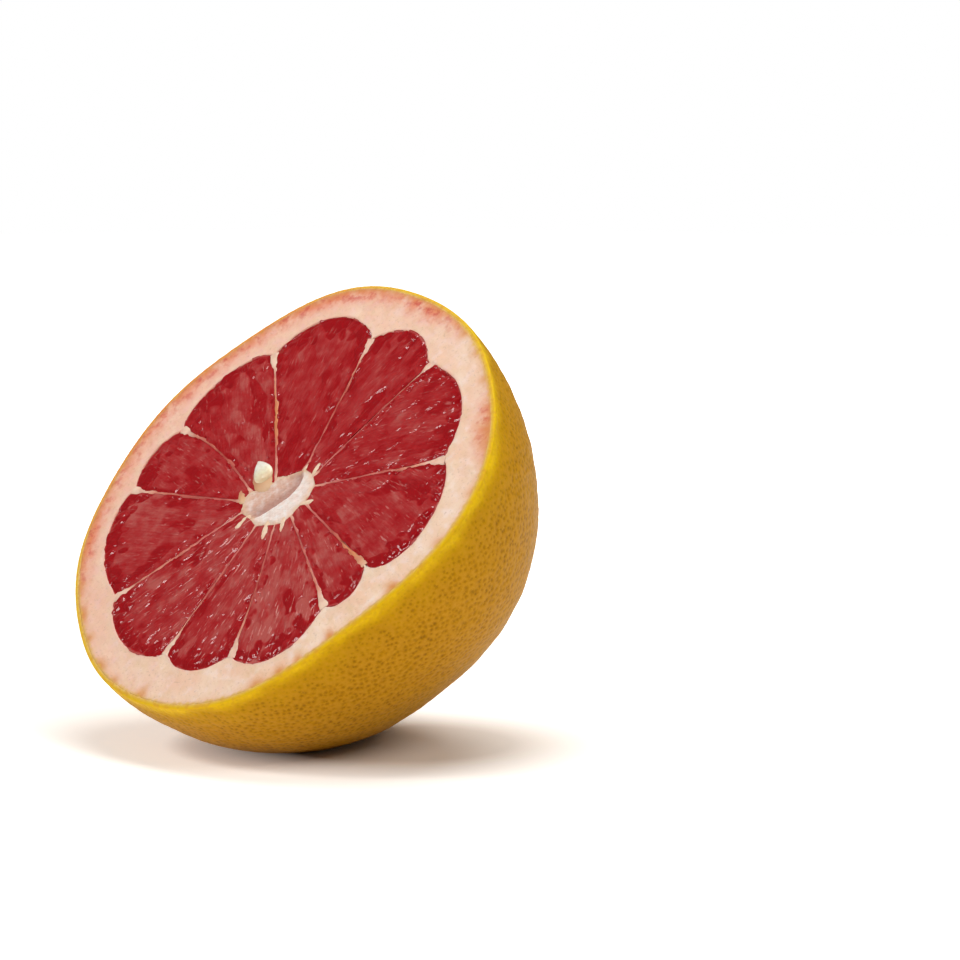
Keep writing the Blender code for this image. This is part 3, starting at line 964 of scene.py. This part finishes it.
def segment_wall(index):
    wide, *clear_at = WALL_LOOKS[index][:4]
    orange, orange_at = WALL_LOOKS[index][4:]
    out = np.linspace(-0.1, 1.05, WALL_ROWS)
    line = pulp_point(index, np.zeros(WALL_ROWS), out)
    length = float(np.linalg.norm(line[-1] - line[0])) / (out[-1] - out[0])
    run = np.gradient(line, axis=0)
    left = np.stack([-run[:, 1], run[:, 0]], axis=-1)
    left = left / np.linalg.norm(left, axis=1, keepdims=True)
    orange = orange * np.exp(-((out - orange_at) / 0.25) ** 2)
    half = 0.65 * wide * (1 + 0.2 * wander(line, 5.0, 70 + index)) + 0.1 * orange
    half += 0.22 * np.exp(-(np.maximum(0, out) * length / 1.5) ** 2)
    half += 0.3 * np.exp(-(np.maximum(0, 1.0 - out) * length / 3.4) ** 2)
    half += 0.3 * np.exp(-(np.maximum(0, 1.0 - out) * length / 1.0) ** 2)
    line = line + left * 0.14 * wander(line, 7.0, 90 + index)[:, None]
    clear = np.interp(out, (0.12, 0.5, 0.85), clear_at) + 0.18 * wander(line, 4.0, 170 + index)
    clear = np.maximum(clear, 1 - smooth(np.minimum(out * length, (1 - out) * length) / 3.2))
    clear = np.clip(clear, 0, 1)
    flat = line[:, None] + left[:, None] * (half[:, None] * WALL_TOP)[..., None]
    sunk = 0.03 + 0.09 * (1 - clear) + 0.03 * wander(line, 3.0, 110 + index)
    sunk = sunk * smooth((1.01 - out) * length / 1.5)
    sunk = sunk + 1.2 * smooth((inside_core(line) - 0.3) / 0.8)
    height = np.minimum(WALL_DROP - sunk[:, None], 0.0)
    points = np.concatenate([flat, height[..., None]], axis=-1)
    return points, np.clip(out, 0, 1), clear, orange


print("walls", [row[0] for row in WALL_LOOKS], "mm wide")

# %% [markdown]
# A wall is a moist, see-through skin with red pulp on both sides, so it looks orange pink and
# glows a little. At its ends it takes the cream of the core and the pith. Where it is not clear
# it takes the red of the pulp that covers it.

# %% Material of the walls
def moist_wall():
    material, surface = new_material(
        "moist_segment_wall", Roughness=0.4, IOR=1.38, Specular_IOR_Level=0.25,
        Subsurface_Weight=0.2, Subsurface_Scale=0.001, Coat_Weight=0.15, Coat_Roughness=0.15,
    )
    surface.inputs["Subsurface Radius"].default_value = (1.0, 0.35, 0.25)
    place = place_of(material)
    ground = ramp(material, value_of(material, "along"), (
        (0.0, "#E8B49C"), (0.05, "#DE9484"), (0.2, "#D07068"), (0.55, "#D27A6A"), (0.84, "#E09880"),
        (0.95, "#F0CEB6"),
    ))
    ground = mix(material, value_of(material, "orange"), ground, colour("#D88A54"))
    uneven = reach_of(material, noise(material, place, 2.5, 2.0), 0.4, 0.7, 0.0, 0.3)
    ground = mix(material, uneven, ground, colour("#C4594C"))
    ground = mix(material, value_of(material, "clear"), colour("#A02424"), ground)
    link(material, ground, surface, "Base Color")
    return material


wall_material = moist_wall()
for index in range(SEGMENTS):
    points, along, clear, orange = segment_wall(index)
    rows, columns = points.shape[:2]
    faces = grid_faces(rows, columns)
    ring = np.arange(rows) * columns
    faces += [
        (int(a + columns - 1), int(a), int(b), int(b + columns - 1)) for a, b in zip(ring[:-1], ring[1:])
    ]
    faces += [tuple(range(columns)), tuple(range(rows * columns - 1, (rows - 1) * columns - 1, -1))]
    values = {
        "place": points.reshape(-1, 3), "along": np.repeat(along, columns),
        "clear": np.repeat(clear, columns),
        "orange": np.repeat(orange, columns),
    }
    make_piece(
        f"wall_{index + 1:02d}", values["place"], faces, values, wall_material,
    )

# %% [markdown]
# ## Core
#
# The core is the white strand that the segments hang on. It is soft and often splits when the
# fruit is cut, which leaves a shadowed cleft across it. It is made from rings round its middle.

# %% Shape of the core
CORE_COLUMNS = 600
CORE_RINGS = 62
CLEFT = ((3.4, 5.6), (4.8, 3.4), (5.0, 1.2), (4.1, -1.4), (1.5, -4.3), (-1.0, -6.7), (-2.6, -8.0))

turn = np.linspace(0, 360, CORE_COLUMNS, endpoint=False)
reach = core_reach(turn)
reach = sum(np.roll(reach, shift) for shift in range(-11, 12)) / 23
core_line = on_face(turn, reach)
core_line = core_line + (core_line - AXIS) * 0.018 * wander(core_line, 2.0, 130)[:, None]
parts = np.concatenate([np.linspace(0.02, 1, CORE_RINGS) ** 0.8, [1.012, 1.015]])
core_flat = AXIS + (core_line - AXIS)[None] * parts[:, None, None]


def cleft_gap(places):
    """Distance to the line of the cleft, and which side of it a place lies on."""
    best = np.full(places.shape[:-1], 99.0)
    side = np.zeros(places.shape[:-1])
    for start, end in zip(CLEFT[:-1], CLEFT[1:]):
        start, run = np.array(start), np.array(end) - np.array(start)
        part = np.clip(((places - start) @ run) / (run @ run), 0, 1)
        gap = places - start - part[..., None] * run
        far = np.linalg.norm(gap, axis=-1)
        nearer = far < best
        best = np.where(nearer, far, best)
        side = np.where(nearer, np.sign(run[0] * gap[..., 1] - run[1] * gap[..., 0]), side)
    return best, side


gap, side = cleft_gap(core_flat)
cleft_slope = np.where(side < 0, np.exp(-(gap / 2.4) ** 2), np.exp(-(gap / 0.5) ** 2))
rim_fade = 1 - smooth((parts - 0.7) / 0.3)[:, None]
core_height = 0.04 - (0.12 + 0.6 * rim_fade) * cleft_slope - 0.1 * (side < 0) * rim_fade
core_height += 0.05 * wander(core_flat, 1.8, 131) + 0.03 * wander(core_flat, 0.8, 132)
core_height -= 0.12 * smooth((parts - 0.85) / 0.15)[:, None]
core_height[-2:] = np.array([[-0.7], [-5.5]])
core_points = np.concatenate([core_flat, core_height[..., None]], axis=-1)
middle_top = np.array([[*AXIS, float(core_height[0].mean())], [*AXIS, -5.5]])
print("core", np.round(np.ptp(core_line, axis=0), 1), "mm")

# %% [markdown]
# The core is the same dry sponge as the pith, a cool white on one side of the cleft. The side that slopes
# down into it is a browner pink, the core's own tone mixed with painted shade, and the cleft itself is
# painted in shade. At its edge, where the walls begin, it is the cream of the pith.

# %% Material of the core
def spongy_core():
    material, surface = new_material(
        "spongy_core", Roughness=0.6, IOR=1.38, Specular_IOR_Level=0.3,
        Subsurface_Weight=0.3, Subsurface_Scale=0.002,
    )
    surface.inputs["Subsurface Radius"].default_value = (1.0, 0.5, 0.4)
    place = place_of(material)
    blotch = noise(material, place, 1.8, 3.0)
    ground = ramp(material, blotch, ((0.35, "#E6CFC4"), (0.5, "#ECDAD0"), (0.68, "#F3E9E4")))
    # Browner pink over the side that slopes into the cleft: partly the core's own tone, partly painted
    # shade.
    brown_and_shade = reach_of(material, blotch, 0.38, 0.65, 0.85, 0.4)
    brown_and_shade = add(material, "Math", {0: brown_and_shade, 1: value_of(material, "left_side")}, operation="MULTIPLY")
    ground = mix(material, brown_and_shade.outputs[0], ground, colour("#D6A48C"))
    # Painted shade in the cleft, darkest along its line.
    ground = mix(material, value_of(material, "cleft"), ground, colour("#AE7E74"))
    ground = mix(material, value_of(material, "edge"), ground, colour("#E8BC9A"))
    link(material, ground, surface, "Base Color")
    bump = add(material, "Bump", {
        "Height": noise(material, place, 0.6, 3.0), "Strength": 0.3, "Distance": 0.0002,
    })
    link(material, bump.outputs["Normal"], surface, "Normal")
    return material


rings = len(parts)
core_faces = grid_faces(rings, CORE_COLUMNS, around=True)
top_index, bottom_index = rings * CORE_COLUMNS, rings * CORE_COLUMNS + 1
for column in range(CORE_COLUMNS):
    following = (column + 1) % CORE_COLUMNS
    core_faces.append((top_index, following, column))
    low = (rings - 1) * CORE_COLUMNS
    core_faces.append((bottom_index, low + column, low + following))
edge_share = smooth((parts - 0.76) / 0.28)[:, None] * (0.8 + 0.3 * wander(core_flat, 2.0, 133))
make_piece(
    "core", np.concatenate([core_points.reshape(-1, 3), middle_top]), core_faces,
    {
        "place": np.concatenate([core_points.reshape(-1, 3), middle_top]),
        "cleft": np.append(np.clip(cleft_slope, 0, 1).ravel() * 0.75, [0.2, 0]),
        "left_side": np.append((side < 0).astype(float).ravel(), [0.3, 0]),
        "edge": np.append(np.clip(edge_share, 0, 1).ravel(), [0, 0]),
    },
    spongy_core(),
)

# %% [markdown]
# ## Seeds
#
# One full seed sits beside the core in the tan socket that it grew in: cream, with a painted highlight
# near white along its middle, and its point outwards. Around the core are small ones that never grew, soft
# and cream, and at the left a scrap of orange tissue. Each is a drop: a ball whose one end is drawn out to
# a point.

# %% Shape and material of the seeds
SEEDS = (                   # name, blunt end, pointed end, width, thickness, height over the cut, sort
    ("seed_socket", (-2.2, -0.3), (-10.2, 3.7), 5.2, 0.6, 0.34, "socket"),
    ("seed", (-4.2, 1.2), (-10.1, 6.0), 4.6, 0.95, 1.0, "seed"),
    ("empty_seed_1", (-3.4, -7.1), (-6.3, -13.4), 2.3, 0.5, 0.14, "empty"),
    ("empty_seed_2", (2.5, -7.0), (4.7, -15.2), 1.9, 0.5, 0.14, "empty"),
    ("empty_seed_3", (6.2, -6.0), (8.4, -11.6), 1.6, 0.5, 0.12, "empty"),
    ("empty_seed_4", (8.3, -3.5), (14.6, -1.0), 1.3, 0.4, 0.12, "empty"),
    ("empty_seed_5", (7.6, 3.6), (7.9, 9.5), 1.5, 0.5, 0.12, "empty"),
    ("empty_seed_6", (4.6, 4.4), (5.0, 7.7), 1.2, 0.4, 0.1, "empty"),
    ("core_scrap", (-7.4, -4.8), (-11.0, -0.4), 2.0, 0.4, 0.18, "socket"),
)
SEED_SORTS = {              # colours from the blunt end to the point, roughness, coat
    # The seed's colours brighten to near white past its middle: a painted highlight on the cream coat.
    "seed": (("#E6CCA4", "#F0E6C4", "#F4F0DA", "#F6F3E8", "#F0E4D2"), 0.35, 0.4),
    "empty": (("#ECC8AA", "#EFCFB2", "#F0D2B6", "#E8BC9C", "#D89A80"), 0.5, 0.1),
    "socket": (("#DEB48C", "#D8A67C", "#D0966E", "#C88466", "#BC6A54"), 0.5, 0.1),
}


def seed_material(sort):
    shades, roughness, coat = SEED_SORTS[sort]
    material, surface = new_material(
        f"{sort}_flesh" if sort != "seed" else "smooth_seed_coat", Roughness=roughness, IOR=1.42,
        Subsurface_Weight=0.2, Subsurface_Scale=0.001, Coat_Weight=coat, Coat_Roughness=0.15,
    )
    surface.inputs["Subsurface Radius"].default_value = (1.0, 0.8, 0.5)
    stops = [(0.1 + 0.2 * index, shade) for index, shade in enumerate(shades)]
    ground = ramp(material, value_of(material, "along"), stops)
    blotches = reach_of(material, noise(material, place_of(material), 0.9, 2.0), 0.45, 0.7, 0.0, 0.3)
    link(material, mix(material, blotches, ground, colour("#CFA47C")), surface, "Base Color")
    return material


seed_materials = {sort: seed_material(sort) for sort in SEED_SORTS}
SEED_ROWS, SEED_COLUMNS = 40, 48
for name, blunt, point, wide, thick, over, sort in SEEDS:
    blunt, point = np.array(blunt), np.array(point)
    run = point - blunt
    long = float(np.linalg.norm(run))
    ahead, left = run / long, np.array((-run[1], run[0])) / long
    turn = np.linspace(0.0, math.pi, SEED_ROWS)
    along = (1 - np.cos(turn)) / 2
    girth = 2.45 * along ** 0.48 * (1 - along) ** 0.92
    spin = np.arange(SEED_COLUMNS) * 2 * math.pi / SEED_COLUMNS
    flat = blunt + ahead * (along * long)[:, None, None]
    flat = flat + left * (girth[:, None] * np.cos(spin) * wide / 2)[..., None]
    height = over - thick + girth[:, None] * np.sin(spin) * thick
    points = np.concatenate([flat, height[..., None]], axis=-1).reshape(-1, 3)
    points[:, 2] += 0.04 * wander(points, 1.2, 200)
    faces = grid_faces(SEED_ROWS, SEED_COLUMNS, around=True)
    make_piece(
        name, points, faces, {"place": points, "along": np.repeat(along, SEED_COLUMNS)},
        seed_materials[sort],
    )

# %% [markdown]
# ## Stem button
#
# Where the stalk broke off, low on the back, a corky disc is left in a shallow dimple. It has
# five blunt lobes, because the flower had five sepals.

# %% Shape and material of the stem button
BUTTON_RADIUS = 2.5


def dry_cork():
    material, surface = new_material("dry_stem_button", Roughness=0.8, IOR=1.45)
    place = place_of(material)
    ground = ramp(material, noise(material, place, 0.7, 4.0), (
        (0.3, "#4B3D1C"), (0.5, "#75663A"), (0.7, "#97895A"),
    ))
    link(material, ground, surface, "Base Color")
    bump = add(material, "Bump", {
        "Height": noise(material, place, 0.35, 4.0), "Strength": 0.7, "Distance": 0.0003,
    })
    link(material, bump.outputs["Normal"], surface, "Normal")
    return material


spin = np.arange(120) * 2 * math.pi / 120
profile = ((0.02, 0.35), (0.3, 0.3), (0.55, 0.5), (0.8, 0.62), (0.95, 0.5), (1.0, 0.25), (1.02, -0.6))
button_base = -CUT_TO_MIDDLE - POLE_DEPTH + DIMPLE_DEPTH
lobes = 1 + 0.09 * np.cos(5 * spin) + 0.03 * np.cos(11 * spin + 1)
button_rows = [
    np.stack([
        STEM_SHIFT[0] + BUTTON_RADIUS * part * lobes * np.cos(spin),
        STEM_SHIFT[1] + BUTTON_RADIUS * part * lobes * np.sin(spin),
        np.full(120, button_base - high) - 0.06 * np.cos(9 * spin) * part,
    ], axis=-1)
    for part, high in profile
]
button_points = swollen(np.array(button_rows)).reshape(-1, 3)
button_faces = grid_faces(len(profile), 120, around=True)
make_piece(
    "stem_button", button_points, button_faces, {"place": button_points}, dry_cork(),
)

# %% [markdown]
# ## Light and camera
#
# The fruit lies on a smooth white sheet, as in a catalogue picture, lit from above by a soft key light
# from the upper left, a large one overhead and a weak one from the right. The sheet itself glows with
# painted light that is weakest round the fruit and grows away from it. The painted glow keeps the sheet
# white to its far end and the shadow short. The camera looks slightly down with a long lens from a good
# half metre away, which keeps the fruit's proportions.

# %% Floor, light and camera
VIEW_TURN = 43.26           # degrees the camera is turned round the fruit, and looks down
VIEW_DOWN = 6.0
CAMERA_FROM_FACE = np.array((443.1, -409.9, 64.95))
SHADE_MIDDLE = (0.015, 0.011, 0.0)      # metres: where the glow is weakest, and how far that goes
SHADE_REACH = (0.030, 0.023, 1.0)


def floor_with_painted_glow():
    material, surface = new_material("white_floor_painted_glow", Roughness=0.9, Specular_IOR_Level=0.1)
    surface.inputs["Base Color"].default_value = colour("#F8F2EA")
    surface.inputs["Emission Color"].default_value = colour("#FFFFFF")
    place = add(material, "Mapping", {
        "Vector": add(material, "TexCoord").outputs["Object"], "Location": SHADE_MIDDLE,
        "Rotation": (0, 0, math.radians(VIEW_TURN)), "Scale": SHADE_REACH,
    }, vector_type="TEXTURE")
    away = add(material, "VectorMath", {0: place.outputs["Vector"]}, operation="LENGTH")
    # The glow is painted light: none round the fruit, where its shadow lies, and growing away from it
    # until the sheet is white.
    near = reach_of(material, away.outputs["Value"], 0.8, 1.6, 0.0, 0.4)
    distant = reach_of(material, away.outputs["Value"], 7.0, 34.0, 0.0, 0.9)
    glow = add(material, "Math", {0: near, 1: distant}, operation="ADD").outputs[0]
    link(material, glow, surface, "Emission Strength")
    return material


floor_data = bpy.data.meshes.new("floor")
floor_data.from_pydata([(-4, -4, 0), (4, -4, 0), (4, 4, 0), (-4, 4, 0)], [], [(0, 1, 2, 3)])
floor_data.materials.append(floor_with_painted_glow())
floor = bpy.data.objects.new("floor", floor_data)
bpy.context.scene.collection.objects.link(floor)
floor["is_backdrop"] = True

camera_data = bpy.data.cameras.new("camera")
camera_data.lens = 110
camera_data.sensor_width = 36
camera_data.clip_start = 0.05
camera = bpy.data.objects.new("camera", camera_data)
camera.location = (FACE_MIDDLE + CAMERA_FROM_FACE) * MM
camera.rotation_euler = (math.radians(90 - VIEW_DOWN), 0, math.radians(VIEW_TURN))
bpy.context.scene.collection.objects.link(camera)
bpy.context.scene.camera = camera


def soft_light(name, place, size, power, shade="#FFFFFF"):
    lamp = bpy.data.lights.new(name, "AREA")
    lamp.shape = "DISK"
    lamp.size = size
    lamp.energy = power
    lamp.color = colour(shade)[:3]
    holder = bpy.data.objects.new(name, lamp)
    holder.location = place
    aim = Vector((0, 0, 0.04)) - Vector(place)
    holder.rotation_euler = aim.to_track_quat("-Z", "Y").to_euler()
    bpy.context.scene.collection.objects.link(holder)


soft_light("key", (-0.6, -0.85, 1.0), 0.35, 5.7)
soft_light("top", (-0.05, 0.3, 1.15), 0.9, 9.6)
soft_light("fill", (0.95, 0.15, 1.0), 0.7, 5.8)

world = bpy.data.worlds.new("studio")
world.use_nodes = True
bpy.context.scene.world = world
nodes, links = world.node_tree.nodes, world.node_tree.links
background = nodes["Background"]
background.inputs["Color"].default_value = colour("#FFFFFF")
seen = nodes.new("ShaderNodeLightPath")
strength = nodes.new("ShaderNodeMapRange")
strength.inputs["To Min"].default_value = 0.14
strength.inputs["To Max"].default_value = 1.0
links.new(seen.outputs["Is Camera Ray"], strength.inputs["Value"])
links.new(strength.outputs["Result"], background.inputs["Strength"])
bpy.context.scene.view_settings.view_transform = "Standard"
print("camera at", [round(v, 3) for v in camera.location])

# %% [markdown]
# Last, the size of the dressed fruit is printed, in millimetres.

# %% Size of the dressed fruit
low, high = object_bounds()
print("dressed, in mm:", [round(1000 * (b - a), 1) for a, b in zip(low, high)])
